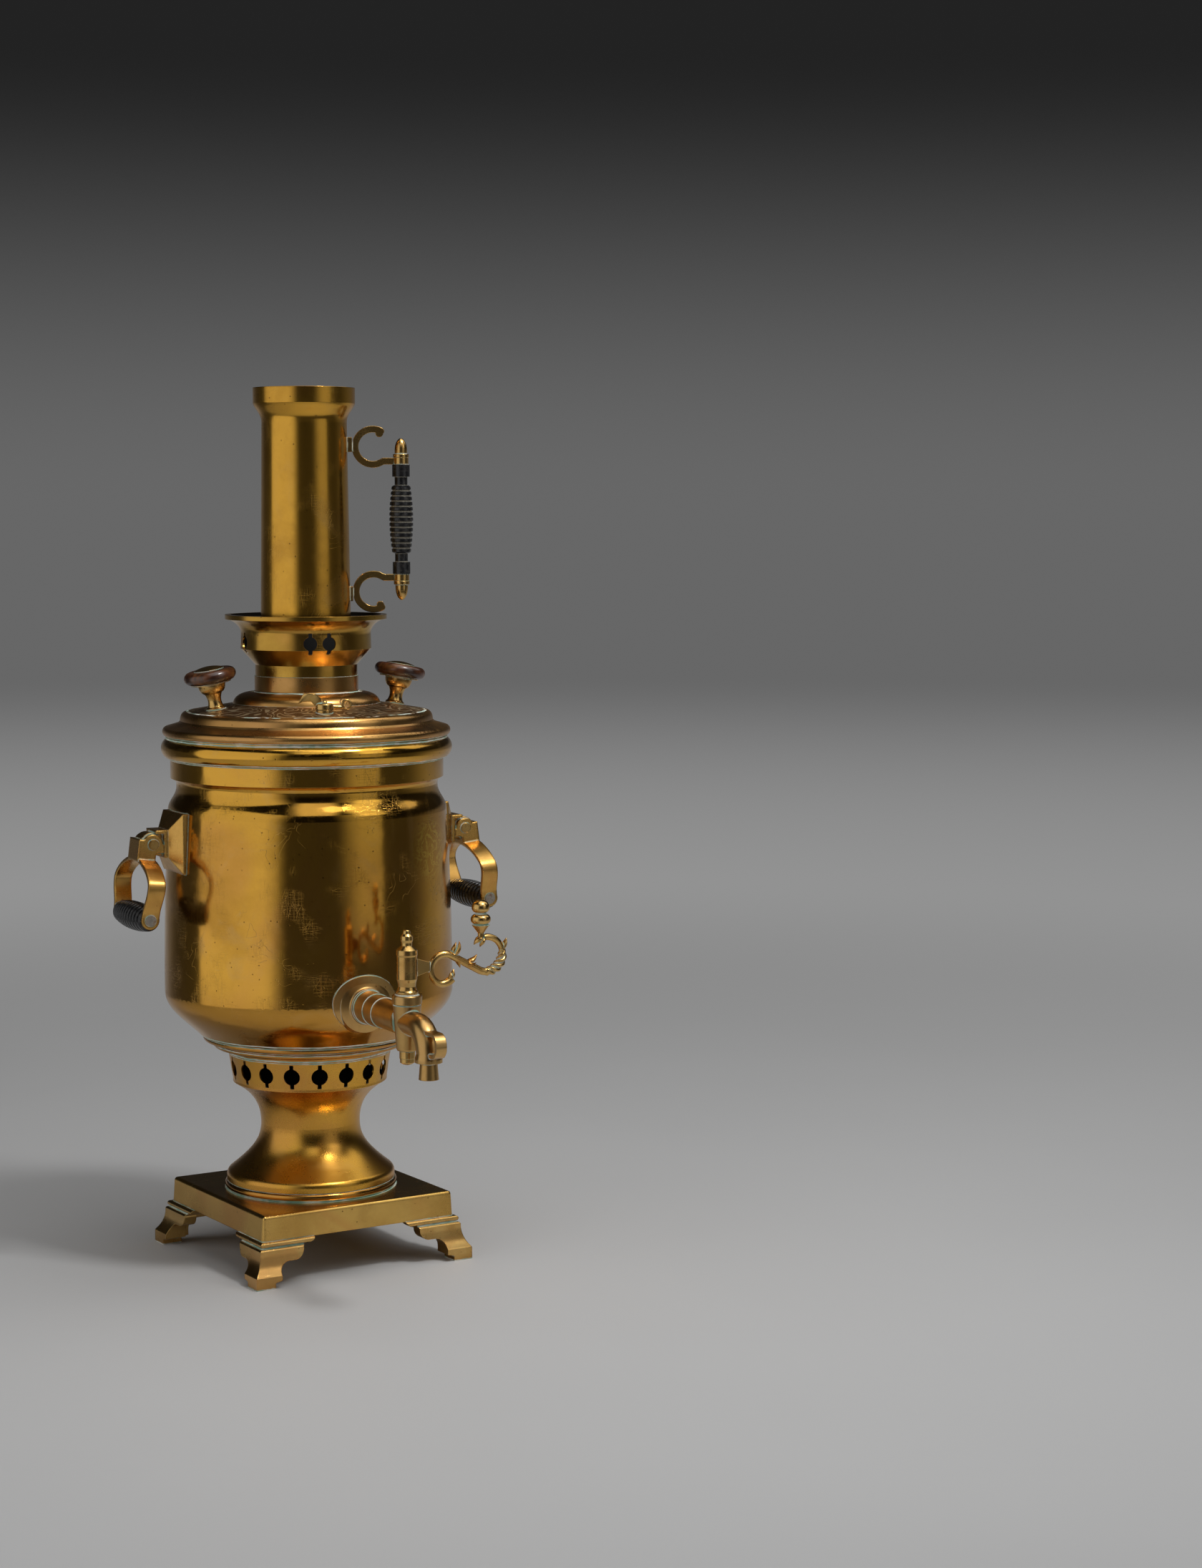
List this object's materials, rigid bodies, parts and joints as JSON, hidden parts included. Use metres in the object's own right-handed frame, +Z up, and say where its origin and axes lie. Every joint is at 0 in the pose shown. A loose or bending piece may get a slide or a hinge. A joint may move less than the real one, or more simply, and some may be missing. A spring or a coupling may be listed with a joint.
{
  "type": "samovar",
  "caption": "Charcoal-fired brass samovar: cylindrical urn on a pedestal with square footed base, swing handles, plug tap with scrolled key, lid with knobs, teapot crown and removable chimney.",
  "frame": {"origin": "on the axis of the urn, at the plane the four feet stand on", "axes": "+Z up along the axis of the urn and chimney, -Y the way the tap points, +X to the right seen from the tap side"},
  "size_m": [0.2976, 0.3547, 0.663],
  "materials": {
    "sheet_brass": "aged, unevenly tarnished spun sheet",
    "cast_brass": "aged casting, dark in the recesses and bright on worn edges",
    "satin_brass": "satin, handled bare",
    "cast_iron": "sooty casting",
    "steel_rod": "dull drawn rod",
    "knob_wood": "dark reddish-brown polished turned wood",
    "black_grip": "ebonised turned wood, worn grey in the grooves"
  },
  "bodies": {
    "urn": {"base_plate": "sheet_brass", "bottom_rings": "sheet_brass", "flue_tube": "sheet_brass", "foot_back_left": "cast_brass", "foot_back_right": "cast_brass", "foot_front_left": "cast_brass", "foot_front_right": "cast_brass", "grate": "cast_iron", "handle_bracket_left": "cast_brass", "handle_bracket_right": "cast_brass", "hinge_pin_left": "steel_rod", "hinge_pin_right": "steel_rod", "pedestal": "sheet_brass", "plinth_ring": "sheet_brass", "rim_collar": "sheet_brass", "spout_loop": "cast_brass", "tap_body": "cast_brass", "tap_flange": "cast_brass", "urn_body": "sheet_brass", "vent_gallery": "sheet_brass"},
    "key": {"tap_key": "cast_brass", "key_branch": "cast_brass", "key_finial": "cast_brass", "tap_washer": "cast_brass", "tap_nut": "cast_brass"},
    "bail_left": {"handle_bail_left": "satin_brass", "handle_grip_left": "black_grip", "grip_rod_left": "steel_rod"},
    "bail_right": {"handle_bail_right": "satin_brass", "handle_grip_right": "black_grip", "grip_rod_right": "steel_rod"},
    "lid_body": {"lid": "sheet_brass", "lid_skirt": "sheet_brass", "steam_vent_seat": "cast_brass", "steam_vent_pin": "steel_rod", "knob_cap_left": "cast_brass", "knob_cap_right": "cast_brass", "knob_disc_left": "knob_wood", "knob_disc_right": "knob_wood", "knob_plate_left": "cast_brass", "knob_plate_right": "cast_brass", "knob_stem_left": "cast_brass", "knob_stem_right": "cast_brass"},
    "steam_cap": {"steam_vent_cap": "cast_brass"},
    "crown_body": {"crown": "sheet_brass"},
    "chimney": {"chimney_pipe": "sheet_brass", "pipe_acorn_lower": "cast_brass", "pipe_acorn_upper": "cast_brass", "pipe_ferrule_lower": "cast_brass", "pipe_ferrule_upper": "cast_brass", "pipe_grip": "black_grip", "pipe_grip_rod": "steel_rod", "pipe_pad_lower": "cast_brass", "pipe_pad_upper": "cast_brass", "pipe_scroll_lower": "cast_brass", "pipe_scroll_upper": "cast_brass"}
  },
  "joints": [
    {"name": "tap_key_turn", "type": "hinge", "parent": "urn", "child": "key", "pos_m": [0, -0.185, 0.2075], "axis": [0, 0, 1], "range_deg": [-180, 60]},
    {"name": "handle_left_swing", "type": "hinge", "parent": "urn", "child": "bail_left", "pos_m": [-0.1278, 0, 0.3237], "axis": [0, 1, 0], "range_deg": [0, 75]},
    {"name": "handle_right_swing", "type": "hinge", "parent": "urn", "child": "bail_right", "pos_m": [0.1278, 0, 0.3237], "axis": [0, -1, 0], "range_deg": [0, 75]},
    {"name": "lid_lift", "type": "slide", "parent": "urn", "child": "lid_body", "axis": [0, 0, 1], "range_m": [0, 0.12]},
    {"name": "crown_lift", "type": "slide", "parent": "lid_body", "child": "crown_body", "axis": [0, 0, 1], "range_m": [0, 0.05]},
    {"name": "chimney_lift", "type": "slide", "parent": "crown_body", "child": "chimney", "axis": [0, 0, 1], "range_m": [0, 0.06]},
    {"name": "steam_cap_turn", "type": "hinge", "parent": "lid_body", "child": "steam_cap", "pos_m": [-0.01493, -0.07146, 0.427], "axis": [0, 0, -1], "range_deg": [0, 60]}
  ]
}
